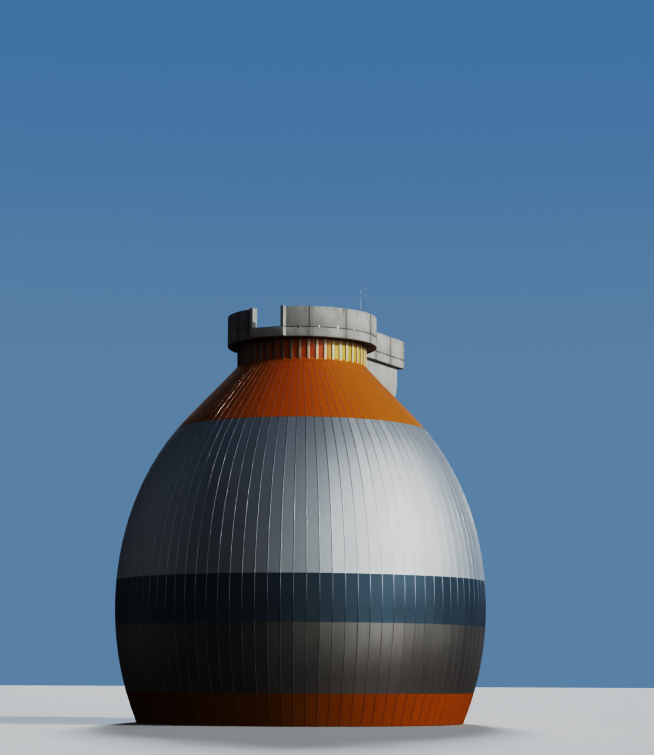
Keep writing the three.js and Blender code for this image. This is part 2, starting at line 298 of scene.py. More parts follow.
# Egg cladding: 96 upright strips of aluminium sheet in five colour bands, each strip flat across and
# curved upwards. Every band laps over the one below with a small flared hem.
EGG_RADIUS = 11.0
EGG_HALF_HEIGHT = 14.25
EGG_CENTRE_Z = 6.93
CONE_START_Z = 18.0
STRIPS = 96
STRIP_ANGLE = 360.0 / STRIPS
SHEET_DEPTH = 0.010
SHEET_THICKNESS = 0.003
LEVEL_STEP = 0.75
HEM_FLARE = 0.006
HEM_HEIGHT = 0.06
HEM_RETURN = 0.03
LAP = 0.02
CONSOLE_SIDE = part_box("console")[1].x
CONSOLE_TIP_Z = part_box("console")[0].z
CONSOLE_SIDE_COVER = 0.03
CONSOLE_TIP_COVER = 0.2
PAINTED_SUN_SPAN = (0.1, 0.95)
STRIP_BOW = 0.002
DENT_DEPTH = 0.0006
LEAN_SEED = 50.0


def ellipse_radius(z):
    return EGG_RADIUS * math.sqrt(1 - ((z - EGG_CENTRE_Z) / EGG_HALF_HEIGHT) ** 2)


def egg_radius(z):
    """The egg's outer radius: an ellipse up to where the cone starts, then its tangent."""
    if z <= CONE_START_Z:
        return ellipse_radius(z)
    start = ellipse_radius(CONE_START_Z)
    slope = (EGG_RADIUS / EGG_HALF_HEIGHT) ** 2 * (CONE_START_Z - EGG_CENTRE_Z) / start
    return start - slope * (z - CONE_START_Z)


def band_levels(bottom, top):
    count = max(1, round((top - bottom) / LEVEL_STEP))
    return [bottom + (top - bottom) * i / count for i in range(count + 1)]


def start_mesh(name, make, **settings):
    """Adds a primitive on its own, selected all over, in edit mode."""
    bpy.ops.object.select_all(action="DESELECT")
    make(**settings)
    piece = bpy.context.object
    piece.name = piece.data.name = name
    bpy.ops.object.transform_apply()
    bpy.ops.object.mode_set(mode="EDIT")
    bpy.ops.mesh.select_all(action="SELECT")
    return piece


def grow(low, high, widen):
    """Extrudes the selected ring from one height and radius to the next."""
    bpy.ops.mesh.extrude_region_move(TRANSFORM_OT_translate={"value": (0, 0, high - low)})
    bpy.ops.transform.resize(value=(widen, widen, 1), center_override=(0, 0, high))


def select_only(piece, kind, wanted):
    """Selects the vertices, edges or faces that the test accepts, then returns to edit mode."""
    bpy.ops.mesh.select_all(action="DESELECT")
    bpy.ops.mesh.select_mode(type={"vertices": "VERT", "edges": "EDGE", "polygons": "FACE"}[kind])
    bpy.ops.object.mode_set(mode="OBJECT")
    for element in getattr(piece.data, kind):
        element.select = wanted(element)
    bpy.ops.object.mode_set(mode="EDIT")


def drop_inside_console(piece):
    """Deletes the faces that the console's concrete hides."""
    points = piece.data.vertices

    def hidden(face):
        corners = [points[i].co for i in face.vertices]
        return all(
            abs(corner.x) < CONSOLE_SIDE - CONSOLE_SIDE_COVER
            and corner.y > 0
            and corner.z > CONSOLE_TIP_Z + CONSOLE_TIP_COVER
            for corner in corners
        )

    select_only(piece, "polygons", hidden)
    bpy.ops.mesh.delete(type="FACE")
    bpy.ops.mesh.select_mode(type="VERT")
    bpy.ops.mesh.select_all(action="SELECT")


def thicken(piece, thickness):
    bpy.ops.object.mode_set(mode="OBJECT")
    bpy.ops.object.modifier_add(type="SOLIDIFY")
    piece.modifiers[-1].thickness = thickness
    piece.modifiers[-1].offset = -1
    bpy.ops.object.modifier_apply(modifier=piece.modifiers[-1].name)


def finish_piece(piece, material, nodes=(), smooth=30.0):
    """Leaves edit mode, shades the piece and fixes it to the object's one body."""
    if piece.mode == "EDIT":
        bpy.ops.object.mode_set(mode="OBJECT")
    bpy.ops.object.shade_smooth_by_angle(angle=math.radians(smooth), keep_sharp_edges=True)
    coat(piece, material)
    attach(piece, "root")
    if nodes:
        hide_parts(*nodes)


def add_band(node):
    low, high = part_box(node)
    bottom, top = low.z, high.z
    rings = [(bottom, egg_radius(bottom) - SHEET_DEPTH + HEM_FLARE - HEM_RETURN)]
    rings.append((bottom, egg_radius(bottom) - SHEET_DEPTH + HEM_FLARE))
    rings += [(z, egg_radius(z) - SHEET_DEPTH) for z in band_levels(bottom + HEM_HEIGHT, top + LAP)]
    sheet = start_mesh(
        node + "_strips",
        bpy.ops.mesh.primitive_circle_add,
        vertices=STRIPS,
        radius=rings[0][1],
        location=(0, 0, bottom),
        rotation=(0, 0, math.radians(STRIP_ANGLE / 2)),
    )
    for (z0, radius0), (z1, radius1) in zip(rings, rings[1:]):
        grow(z0, z1, radius1 / radius0)
    bpy.ops.mesh.select_all(action="SELECT")
    bpy.ops.mesh.normals_make_consistent(inside=False)
    drop_inside_console(sheet)
    thicken(sheet, SHEET_THICKNESS)
    bpy.ops.object.mode_set(mode="EDIT")
    points = sheet.data.vertices

    def upright(edge):
        first, second = (points[i].co for i in edge.vertices)
        return abs(first.z - second.z) > HEM_HEIGHT / 2

    select_only(sheet, "edges", upright)
    bpy.ops.mesh.mark_sharp()
    return sheet


def strip_place(place):
    """Counts the strips round the egg: a whole number at each seam, and the share between."""
    turn = place.math("ARCTAN2", place.part("X"), place.part("Y") * -1.0)
    return (turn * (STRIPS / math.tau) - 0.5) % STRIPS


def strip_shade(place, seed):
    """A random number from 0 to 1 for each strip."""
    number = strip_place(place).math("FLOOR", strip_place(place))
    return place.node("TexWhiteNoise", {"noise_dimensions": "1D"}, {"W": number + seed})


def strip_lean(place, seed, most):
    """The sheet's normal, with each strip turned a degree or so off its true line."""
    normal = place.node("NewGeometry", output="Normal")
    sideways = normal.node("VectorMath", {"operation": "CROSS_PRODUCT"}, {0: (0, 0, 1), 1: normal})
    lean = (strip_shade(place, seed) - 0.5) * (2.0 * most)
    leaned = sideways.node("VectorMath", {"operation": "SCALE"}, {0: sideways, "Scale": lean})
    return normal.node("VectorMath", {"operation": "ADD"}, {0: normal, 1: leaned})


def sheet_relief(place, seed, most_lean):
    """Each strip bows a little between its seams, and the sheet is faintly uneven."""
    across = (strip_place(place).math("FRACT", strip_place(place)) - 0.5) * 2.0
    dents = place.scaled((1.0, 1.0, 0.45)).noise(1.1, detail=1.0)
    lean = strip_lean(place, seed + LEAN_SEED, most_lean)
    return relief(across * across * -STRIP_BOW + dents * DENT_DEPTH, distance=1.0, Normal=lean)


def sunward(place):
    """From -1 on the egg's shaded side to 1 on the side that faces the sun."""
    towards_sun = direction(KEY_ANGLE, 0.0)
    flat = place.node("VectorMath", {"operation": "MULTIPLY"}, {0: place, 1: (1, 1, 0)})
    unit = flat.node("VectorMath", {"operation": "NORMALIZE"}, {0: flat})
    return unit.node("VectorMath", {"operation": "DOT_PRODUCT"}, {0: unit, 1: towards_sun}, "Value")


def sheet_finish(name, colours, metal, gloss, seed, lean, sheen=0.5, foot=None, painted_sun_tint=None):
    """Coated or bare sheet: each strip has its own shade, with rain streaks.

    The foot is the span of heights over which it darkens towards the bottom; the sun tint is a painted
    highlight, the colour it turns to on the side that faces the sun.
    """
    material, shader, place = new_finish(name)
    shader.distribution = "GGX"
    shader.inputs["Specular IOR Level"].default_value = sheen
    streaks = place.scaled((5.0, 5.0, 0.28)).noise(1.0, detail=4.0, roughness=0.6).rise(0.35, 0.75)
    clouds = place.noise(0.35, detail=3.0).rise(0.3, 0.7)
    shade = strip_shade(place, seed)
    dark, light, streak_and_foot_colour = colours
    colour = (shade * 0.6 + clouds * 0.4).mix(dark, light)
    # Painted highlight: towards the side that faces the sun the colour turns to the sun tint.
    if painted_sun_tint:
        colour = sunward(place).rise(*PAINTED_SUN_SPAN).mix(colour, painted_sun_tint)
    streaked_and_darkened = streaks * 0.18 + clouds * 0.06
    # Rain streaks, and over the foot span a darkening towards the bottom.
    if foot:
        streaked_and_darkened = streaked_and_darkened + place.part("Z").rise(*foot) * 0.75
    colour = streaked_and_darkened.mix(colour, streak_and_foot_colour)
    feed(
        shader,
        Base_Color=colour,
        Roughness=shade * 0.04 + streaks * 0.03 + gloss,
        Normal=sheet_relief(place, seed, lean),
    )
    if metal:
        feed(shader, Metallic=metal - streaked_and_darkened * (0.3 * metal))
    return material


silver = sheet_finish(
    "silver_sheet",
    [(0.405, 0.433, 0.445, 1), (0.49, 0.518, 0.530, 1), (0.34, 0.35, 0.35, 1)],
    metal=1.0,
    gloss=0.58,
    seed=3.0,
    lean=0.03,
)
aluminium = sheet_finish(
    "mill_aluminium_sheet",
    [(0.156, 0.152, 0.143, 1), (0.237, 0.230, 0.217, 1), (0.117, 0.102, 0.095, 1)],
    metal=1.0,
    gloss=0.54,
    seed=11.0,
    lean=0.012,
    foot=(5.6, 1.8),
)
orange = sheet_finish(
    "orange_sheet",
    [(0.330, 0.090, 0.003, 1), (0.392, 0.114, 0.004, 1), (0.25, 0.070, 0.008, 1)],
    metal=0.05,
    gloss=0.52,
    seed=23.0,
    lean=0.015,
    sheen=0.12,
    painted_sun_tint=(0.37, 0.152, 0.014, 1),
)
deep_orange = sheet_finish(
    "deep_orange_sheet",
    [(0.165, 0.050, 0.001, 1), (0.212, 0.068, 0.001, 1), (0.095, 0.029, 0.002, 1)],
    metal=0.0,
    gloss=0.62,
    seed=29.0,
    lean=0.01,
    sheen=0.04,
    painted_sun_tint=(0.275, 0.084, 0.001, 1),
)
blue = sheet_finish(
    "blue_sheet",
    [(0.040, 0.066, 0.087, 1), (0.055, 0.087, 0.110, 1), (0.046, 0.060, 0.068, 1)],
    metal=0.40,
    gloss=0.50,
    seed=37.0,
    lean=0.008,
    sheen=0.3,
)

BANDS = [
    ("base_cladding", deep_orange, "orange_cladding"),
    ("lower_cladding", aluminium, "mill_aluminium_cladding"),
    ("blue_cladding", blue, "blue_cladding"),
    ("body_cladding", silver, "silver_cladding"),
    ("cone_cladding", orange, "orange_cladding"),
]
for node, material, slot in BANDS:
    band = add_band(node)
    finish_piece(band, material, [node], smooth=6.0)


# Seam caps: a low rounded aluminium strip folded over every seam between two sheets, steep on one side
# and dressed down flatter on the other. On the cone it is steeper and fully lacquered, on the silver
# band bright, and it gets duller from there down.
CAP_STEEP_WIDTH = 0.016
CONE_CAP_STEEP_WIDTH = 0.004
CAP_FLAT_WIDTH = 0.040
CAP_ROOT = 0.0015
CAP_TIP = 0.0005
CAP_SIDES = 16
CAP_LACQUER_ROUGHNESS = 0.20
TOLERANCE = 0.0005
CAP_PAINTED_SHADE = (0.055, 0.065, 0.075, 1)


def add_caps(node, steep_width):
    """Half a flattened circle, drawn up the band's curve and repeated at every seam."""
    low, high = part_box(node)
    levels = band_levels(low.z + CAP_TIP, high.z)
    foot = egg_radius(levels[0]) - SHEET_DEPTH - CAP_ROOT
    height = SHEET_DEPTH + CAP_ROOT - CAP_TIP
    caps = start_mesh(
        node.replace("cladding", "seam_caps"),
        bpy.ops.mesh.primitive_circle_add,
        vertices=CAP_SIDES,
        radius=1,
        location=(0, 0, levels[0]),
    )
    select_only(caps, "vertices", lambda vertex: vertex.co.y > TOLERANCE)
    bpy.ops.mesh.delete(type="VERT")
    for side, width in ((1, steep_width), (-1, CAP_FLAT_WIDTH)):
        select_only(caps, "vertices", lambda vertex: side * vertex.co.x > TOLERANCE)
        bpy.ops.transform.resize(value=(width, 1, 1), center_override=(0, 0, levels[0]))
    bpy.ops.mesh.select_all(action="SELECT")
    bpy.ops.mesh.edge_face_add()
    bpy.ops.transform.resize(value=(1, height, 1), center_override=(0, 0, levels[0]))
    bpy.ops.transform.translate(value=(0, -foot, 0))
    for z0, z1 in zip(levels, levels[1:]):
        step = (0, egg_radius(z0) - egg_radius(z1), z1 - z0)
        bpy.ops.mesh.extrude_region_move(TRANSFORM_OT_translate={"value": step})
    bpy.ops.mesh.select_all(action="SELECT")
    half_step = math.radians(STRIP_ANGLE / 2)
    bpy.ops.transform.rotate(value=half_step, orient_axis="Z", center_override=(0, 0, 0))
    bpy.ops.mesh.spin(
        steps=STRIPS - 1,
        dupli=True,
        angle=math.radians(360 - STRIP_ANGLE),
        center=(0, 0, 0),
        axis=(0, 0, 1),
    )
    bpy.ops.mesh.select_all(action="SELECT")
    bpy.ops.mesh.normals_make_consistent(inside=False)
    drop_inside_console(caps)
    return caps


def cap_finish(name, colours, metal, gloss, lacquer, foot=None, shine=1.5):
    """Thin folded strip under a share of lacquer, dulled in patches; with a foot span it darkens to a
    painted shade towards its foot.
    """
    material, shader, place = new_finish(name)
    shader.distribution = "GGX"
    shader.inputs["Coat Weight"].default_value = lacquer
    shader.inputs["Coat Roughness"].default_value = CAP_LACQUER_ROUGHNESS
    shader.inputs["Coat IOR"].default_value = shine
    dark, light = colours
    dull = place.scaled((6.0, 6.0, 0.8)).noise(1.0, detail=3.0).rise(0.35, 0.7)
    colour = dull.mix(light, dark)
    # Painted shade: the caps darken towards the foot of the band, where their reflection fades.
    if foot:
        colour = place.part("Z").rise(*foot).mix(colour, CAP_PAINTED_SHADE)
    feed(
        shader,
        Base_Color=colour,
        Metallic=metal - dull * 0.15,
        Roughness=dull * 0.15 + gloss,
        Normal=relief(place.noise(3.0, detail=1.0), distance=0.001),
    )
    return material


bright_cap = cap_finish(
    "bright_cap",
    [(0.28, 0.295, 0.32, 1), (0.36, 0.375, 0.40, 1)],
    metal=1.0,
    gloss=0.48,
    lacquer=0.7,
)
blue_cap = cap_finish(
    "blue_cap",
    [(0.18, 0.20, 0.23, 1), (0.24, 0.26, 0.29, 1)],
    metal=1.0,
    gloss=0.38,
    lacquer=0.2,
    foot=(8.2, 5.9),
)
warm_cap = cap_finish(
    "warm_cap",
    [(0.36, 0.14, 0.08, 1), (0.45, 0.19, 0.12, 1)],
    metal=0.3,
    gloss=0.45,
    lacquer=1.0,
    shine=2.6,
)
dull_cap = cap_finish(
    "dull_cap",
    [(0.12, 0.106, 0.097, 1), (0.19, 0.172, 0.157, 1)],
    metal=0.8,
    gloss=0.52,
    lacquer=0.0,
)
rust_cap = cap_finish(
    "rust_cap",
    [(0.13, 0.026, 0.002, 1), (0.20, 0.042, 0.003, 1)],
    metal=0.1,
    gloss=0.60,
    lacquer=0.0,
)

CAPPED = [
    ("base_cladding", CAP_STEEP_WIDTH, rust_cap),
    ("lower_cladding", CAP_STEEP_WIDTH, dull_cap),
    ("blue_cladding", CAP_STEEP_WIDTH, blue_cap),
    ("body_cladding", CAP_STEEP_WIDTH, bright_cap),
    ("cone_cladding", CONE_CAP_STEEP_WIDTH, warm_cap),
]
for node, steep_width, material in CAPPED:
    caps = add_caps(node, steep_width)
    finish_piece(caps, material, smooth=50.0)


# Neck cladding: a glossy orange sheet wrapped round the neck, turned gold by a painted highlight on
# its sunny side, a folded apron that throws rain on to the cone, and 48 pale box battens fixed upright
# over the sheet's laps, darkened by painted shade on the side away from the sun.
NECK_BOTTOM_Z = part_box("neck_cladding")[0].z
NECK_TOP_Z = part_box("neck_cladding")[1].z
NECK_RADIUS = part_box("neck_cladding")[1].x
NECK_SHEET_RADIUS = 3.86
APRON_RINGS = [(21.285, 3.872), (21.175, 3.905), (21.075, 4.003)]
RIBS = 48
RIB_STEP = 360.0 / RIBS
RIB_WIDTH = 0.165
RIB_ROOT_RADIUS = 3.845
RIB_TIP_RADIUS = 3.918
RIB_CHAMFER = 0.012
RIB_BOTTOM_Z = 21.19
RIB_TOP_Z = NECK_TOP_Z - 0.004

neck = start_mesh(
    "neck_sheet",
    bpy.ops.mesh.primitive_circle_add,
    vertices=2 * STRIPS,
    radius=NECK_SHEET_RADIUS,
    location=(0, 0, NECK_BOTTOM_Z - LAP),
)
grow(NECK_BOTTOM_Z - LAP, NECK_TOP_Z, 1.0)
bpy.ops.mesh.select_all(action="SELECT")
bpy.ops.mesh.normals_make_consistent(inside=False)
drop_inside_console(neck)
thicken(neck, SHEET_THICKNESS)

NECK_ORANGE = (0.32, 0.072, 0.003, 1.0)
NECK_PAINTED_HIGHLIGHT = (0.41, 0.285, 0.075, 1.0)
NECK_HIGHLIGHT_SPAN = (0.50, 0.86)

neck_finish, shader, place = new_finish("neck_orange_painted_highlight")
shader.inputs["Specular IOR Level"].default_value = 0.3
patina = place.scaled((3.0, 3.0, 0.6)).noise(1.2, detail=3.0).rise(0.3, 0.7)
# Painted highlight: the orange sheet turns gold towards the side that faces the sun.
painted_highlight = sunward(place).rise(*NECK_HIGHLIGHT_SPAN)
feed(
    shader,
    Base_Color=(painted_highlight - patina * 0.2).rise(0.0, 1.0).mix(NECK_ORANGE, NECK_PAINTED_HIGHLIGHT),
    Metallic=0.10 - patina * 0.1,
    Roughness=patina * 0.12 + 0.36,
    Normal=relief(place.noise(2.5, detail=2.0), distance=0.004),
)
finish_piece(neck, neck_finish, ["neck_cladding"])

apron = start_mesh(
    "neck_apron",
    bpy.ops.mesh.primitive_circle_add,
    vertices=2 * STRIPS,
    radius=APRON_RINGS[0][1],
    location=(0, 0, APRON_RINGS[0][0]),
)
for (z0, radius0), (z1, radius1) in zip(APRON_RINGS, APRON_RINGS[1:]):
    grow(z0, z1, radius1 / radius0)
bpy.ops.mesh.select_all(action="SELECT")
bpy.ops.mesh.normals_make_consistent(inside=False)
drop_inside_console(apron)
thicken(apron, SHEET_THICKNESS)
finish_piece(apron, orange, smooth=20.0)

rib_middle_y = -(RIB_ROOT_RADIUS + RIB_TIP_RADIUS) / 2
ribs = start_mesh(
    "neck_ribs",
    bpy.ops.mesh.primitive_cube_add,
    size=1,
    location=(0, rib_middle_y, (RIB_BOTTOM_Z + RIB_TOP_Z) / 2),
    scale=(RIB_WIDTH, RIB_TIP_RADIUS - RIB_ROOT_RADIUS, RIB_TOP_Z - RIB_BOTTOM_Z),
)
corners = ribs.data.vertices
select_only(ribs, "edges", lambda edge: all(corners[i].co.y < rib_middle_y for i in edge.vertices))
bpy.ops.mesh.bevel(offset=RIB_CHAMFER, segments=2)
bpy.ops.mesh.select_mode(type="VERT")
bpy.ops.mesh.select_all(action="SELECT")
# With no window this operator turns the other way, so the first seam is at a negative turn.
first_seam = -math.radians(STRIP_ANGLE / 2)
bpy.ops.transform.rotate(value=first_seam, orient_axis="Z", center_override=(0, 0, 0))
bpy.ops.mesh.spin(
    steps=RIBS - 1,
    dupli=True,
    angle=math.radians(360 - RIB_STEP),
    center=(0, 0, 0),
    axis=(0, 0, 1),
)
bpy.ops.mesh.select_all(action="SELECT")
bpy.ops.mesh.normals_make_consistent(inside=False)
drop_inside_console(ribs)

# The battens darken to a painted shade towards the side away from the sun.
RIB_PALE = (0.55, 0.43, 0.30, 1.0)
RIB_STAINED = (0.44, 0.32, 0.19, 1.0)
RIB_SHADED = (0.13, 0.085, 0.070, 1.0)
RIB_SHADE_SPAN = (0.0, 0.65)

rib_finish, shader, place = new_finish("rib_pale_coat")
runs = place.scaled((7.0, 7.0, 1.2)).noise(1.0, detail=4.0, roughness=0.6).rise(0.35, 0.75)
rib_colour = (runs * 0.6).mix(RIB_PALE, RIB_STAINED)
feed(
    shader,
    Base_Color=sunward(place).rise(*RIB_SHADE_SPAN).mix(RIB_SHADED, rib_colour),
    Roughness=runs * 0.15 + 0.38,
    Normal=relief(runs, distance=0.002),
)
finish_piece(ribs, rib_finish)


# Head soffit: a red-brown coated sheet under the head's overhang, darkened further with painted shade,
# folded down at its rim, with thin radial cover strips over its joints.
SOFFIT_INNER = 3.80
SOFFIT_RINGS = [(22.437, 4.43), (22.412, 4.435), (22.412, 4.465), (22.449, 4.465)]
COVER_STRIPS = 32
COVER_STEP = 360.0 / COVER_STRIPS
COVER_OUTER = 4.42
COVER_Z = 22.433
COVER_WIDTH, COVER_DEPTH, COVER_BEVEL = 0.05, 0.012, 0.003
# The soffit's main colour is its red-brown darkened with painted shade from the overhang.
SOFFIT_SHADED_BROWN = (0.060, 0.014, 0.005, 1.0)
SOFFIT_FADED = (0.10, 0.032, 0.014, 1.0)

soffit = start_mesh(
    "soffit_sheet",
    bpy.ops.mesh.primitive_circle_add,
    vertices=STRIPS,
    radius=SOFFIT_INNER,
    location=(0, 0, SOFFIT_RINGS[0][0]),
    rotation=(0, 0, math.radians(STRIP_ANGLE / 2)),
)
rings = [(SOFFIT_RINGS[0][0], SOFFIT_INNER)] + SOFFIT_RINGS
for (z0, radius0), (z1, radius1) in zip(rings, rings[1:]):
    grow(z0, z1, radius1 / radius0)
bpy.ops.mesh.select_all(action="SELECT")
bpy.ops.mesh.normals_make_consistent(inside=False)
thicken(soffit, SHEET_THICKNESS)

soffit_finish, shader, place = new_finish("soffit_coat")
faded = place.noise(1.5, detail=4.0).rise(0.35, 0.7)
feed(
    shader,
    Base_Color=faded.mix(SOFFIT_SHADED_BROWN, SOFFIT_FADED),
    Roughness=faded * 0.2 + 0.5,
    Normal=relief(place.noise(4.0, detail=2.0), distance=0.002),
)
finish_piece(soffit, soffit_finish, ["head_soffit"])

covers = start_mesh(
    "soffit_cover_strips",
    bpy.ops.mesh.primitive_cube_add,
    size=1,
    location=(0, -(NECK_RADIUS + COVER_OUTER) / 2, COVER_Z),
    scale=(COVER_WIDTH, COVER_OUTER - NECK_RADIUS, COVER_DEPTH),
)
bpy.ops.mesh.bevel(offset=COVER_BEVEL, segments=1)
bpy.ops.mesh.spin(
    steps=COVER_STRIPS - 1,
    dupli=True,
    angle=math.radians(360 - COVER_STEP),
    center=(0, 0, 0),
    axis=(0, 0, 1),
)
bpy.ops.mesh.select_all(action="SELECT")
bpy.ops.mesh.normals_make_consistent(inside=False)
finish_piece(covers, soffit_finish)


# Head: a smooth cast ring fascia under ten curved precast parapet panels, all in pale concrete that
# rain has streaked, with chamfered edges. Panel joints stay dark and stain the concrete beside them.
CHAMFER = 0.014
MERGE_DISTANCE = 0.0002
FLAT_ANGLE = 0.5
EDGE_ANGLE = 30.0
HEAD_RADIUS = 4.51
PANEL_ANGLE = 30.0
FIRST_PANEL_SEAM = 1.3
PARAPET_TOP_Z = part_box("head_parapet_east_1")[1].z
DECK_TOP_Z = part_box("head_fascia")[1].z
CONCRETE_LIGHT = (0.345, 0.345, 0.327, 1.0)
CONCRETE_DARK = (0.266, 0.266, 0.251, 1.0)
CONCRETE_STAIN = (0.12, 0.115, 0.105, 1.0)
TOP_RUN = 0.55
LIFT_RUN = 0.30
LIFT_LINE = 0.01
BED_JOINT_EDGE, BED_JOINT_CORE = 0.045, 0.012
JOINT_STAIN_EDGE, JOINT_STAIN_CORE = 0.45, 0.03
JOINT_LINE_EDGE, JOINT_LINE_CORE = 0.05, 0.02


def cast_copy(nodes, name, chamfer):
    """One piece from the modelled solids of these nodes, merged and with chamfered edges."""
    bpy.ops.object.select_all(action="DESELECT")
    for node in nodes:
        copy = bpy.data.objects.new(name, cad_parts[node].data.copy())
        bpy.context.scene.collection.objects.link(copy)
        copy.select_set(True)
        bpy.context.view_layer.objects.active = copy
    if len(nodes) > 1:
        bpy.ops.object.join()
    piece = bpy.context.object
    piece.name = piece.data.name = name
    bpy.ops.object.mode_set(mode="EDIT")
    bpy.ops.mesh.select_all(action="SELECT")
    bpy.ops.mesh.remove_doubles(threshold=MERGE_DISTANCE)
    bpy.ops.mesh.dissolve_limited(angle_limit=math.radians(FLAT_ANGLE))
    bpy.ops.object.mode_set(mode="OBJECT")
    bpy.ops.object.modifier_add(type="BEVEL")
    bevel = piece.modifiers[-1]
    bevel.width = chamfer
    bevel.segments = 2
    bevel.limit_method = "ANGLE"
    bevel.angle_limit = math.radians(EDGE_ANGLE)
    bpy.ops.object.modifier_apply(modifier=bevel.name)
    return piece


def facing_concrete(name, top_z, lift_z, joint_distance=None):
    """Pale cast concrete with clouds, pinholes, rain streaks from the top and stained joints.

    The joint distance gives the metres from a place to the nearest upright joint, if there is one.
    """
    material, shader, place = new_finish(name)
    height = place.part("Z")
    clouds = place.noise(0.9, detail=5.0, roughness=0.6)
    grain = place.noise(14.0, detail=3.0, roughness=0.7)
    streaks = place.scaled((5.0, 5.0, 0.35)).noise(1.0, detail=5.0, roughness=0.65).rise(0.42, 0.72)
    fine_streaks = place.scaled((16.0, 16.0, 0.5)).noise(1.0, detail=2.0).rise(0.45, 0.8)
    pinholes = place.node("TexVoronoi", inputs={"Vector": place, "Scale": 22.0}).rise(0.10, 0.04)
    tone = (clouds * 0.65 + grain * 0.35).rise(0.36, 0.66).mix(CONCRETE_DARK, CONCRETE_LIGHT)
    below_top = height.rise(top_z - TOP_RUN, top_z)
    below_lift = height.rise(lift_z - LIFT_RUN, lift_z) * height.rise(lift_z + LIFT_LINE, lift_z)
    bed_joint = abs(height - lift_z).rise(BED_JOINT_EDGE, BED_JOINT_CORE)
    stain = streaks * (below_top * 0.42 + below_lift * 0.35 + 0.12) + bed_joint * 0.75
    stain = stain + fine_streaks * 0.12 + pinholes * 0.3
    if joint_distance:
        joint = joint_distance(place)
        beside_joint = joint.rise(JOINT_STAIN_EDGE, JOINT_STAIN_CORE) * (clouds * 0.5 + 0.50)
        joint_line = joint.rise(JOINT_LINE_EDGE, JOINT_LINE_CORE)
        stain = stain + beside_joint * 0.50 + joint_line * 0.3
    feed(
        shader,
        Base_Color=stain.rise(0.0, 1.0).mix(tone, CONCRETE_STAIN),
        Roughness=0.88 - grain * 0.12,
        Normal=relief(grain * 0.35 + clouds * 0.6 - pinholes * 0.5, distance=0.005),
    )
    return material


def head_joint_distance(place):
    """Metres along the head's round face to the nearest panel joint."""
    turn = place.math("ARCTAN2", place.part("X"), place.part("Y") * -1.0)
    degrees = abs(turn) * math.degrees(1.0)
    from_joint = (degrees + (PANEL_ANGLE / 2 - FIRST_PANEL_SEAM)) % PANEL_ANGLE
    return abs(from_joint - PANEL_ANGLE / 2) * math.radians(HEAD_RADIUS)


head_concrete = facing_concrete("head_concrete", PARAPET_TOP_Z, DECK_TOP_Z, head_joint_distance)
fascia = cast_copy(["head_fascia"], "head_fascia_ring", CHAMFER)
finish_piece(fascia, head_concrete, ["head_fascia"])
for side in ("east", "west"):
    for number in range(1, 6):
        node = f"head_parapet_{side}_{number}"
        panel = cast_copy([node], node + "_panel", CHAMFER)
        finish_piece(panel, head_concrete, [node])


# Head deck: the round floor inside the parapet, trowelled concrete cut into bays, with damp patches.
# The platform carries the same floor outwards.
BAY = 1.4
CUT_EDGE, CUT_CORE = 0.012, 0.004
DECK_LIGHT = (0.40, 0.39, 0.36, 1.0)
DECK_DARK = (0.25, 0.245, 0.225, 1.0)

deck_finish, shader, place = new_finish("deck_concrete")
clouds = place.noise(1.2, detail=5.0, roughness=0.6)
grain = place.noise(20.0, detail=3.0, roughness=0.7)
from_cut_x = abs((place.part("X") + 0.5 * BAY) % BAY - 0.5 * BAY)
from_cut_y = abs((place.part("Y") + 0.5 * BAY) % BAY - 0.5 * BAY)
cuts = from_cut_x.math("MINIMUM", from_cut_x, from_cut_y).rise(CUT_EDGE, CUT_CORE)
damp = place.noise(0.5, detail=4.0).rise(0.4, 0.7)
tone = (clouds * 0.7 + grain * 0.3).mix(DECK_DARK, DECK_LIGHT)
feed(
    shader,
    Base_Color=(cuts * 0.7 + damp * 0.4).mix(tone, DECK_DARK),
    Roughness=0.9 - damp * 0.2,
    Normal=relief(grain * 0.3 - cuts, distance=0.006),
)
coat(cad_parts["head_deck"], deck_finish)


# Landing: a short cast nib with two upstand cheeks, in one pour and so without upright joints. Its end
# face is one side of a movement joint.
straight_concrete = facing_concrete("straight_concrete", PARAPET_TOP_Z, DECK_TOP_Z)
for node in ("landing_nib", "landing_cheek_east", "landing_cheek_west"):
    piece = cast_copy([node], node + "_cast", CHAMFER)
    finish_piece(piece, straight_concrete, [node])


# Platform: a deck between cast fascias with three precast parapet panels a side and an end cheek on
# each side of its gateway. The concrete and its joints match the head's.
PLATFORM_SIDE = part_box("platform_fascia_east")[1].x
PANEL_START_Y = math.sqrt(HEAD_RADIUS**2 - PLATFORM_SIDE**2)
PLATFORM_END_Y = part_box("platform_fascia_end")[1].y
PANELS_A_SIDE = 3
PANEL_LENGTH = (PLATFORM_END_Y - PANEL_START_Y) / PANELS_A_SIDE


def platform_joint_distance(place):
    """Metres along the platform to the nearest panel joint."""
    from_joint = (place.part("Y") + (PANEL_LENGTH / 2 - PANEL_START_Y)) % PANEL_LENGTH
    return abs(from_joint - PANEL_LENGTH / 2)


platform_concrete = facing_concrete(
    "platform_concrete", PARAPET_TOP_Z, DECK_TOP_Z, platform_joint_distance
)
PLATFORM_NODES = [f"platform_fascia_{part}" for part in ("east", "west", "end")]
PLATFORM_NODES += [f"platform_parapet_{side}_{i}" for side in ("east", "west") for i in (1, 2, 3)]
PLATFORM_NODES += ["platform_cheek_east", "platform_cheek_west"]
for node in PLATFORM_NODES:
    piece = cast_copy([node], node + "_cast", CHAMFER)
    finish_piece(piece, platform_concrete, [node])
coat(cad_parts["platform_deck"], deck_finish)


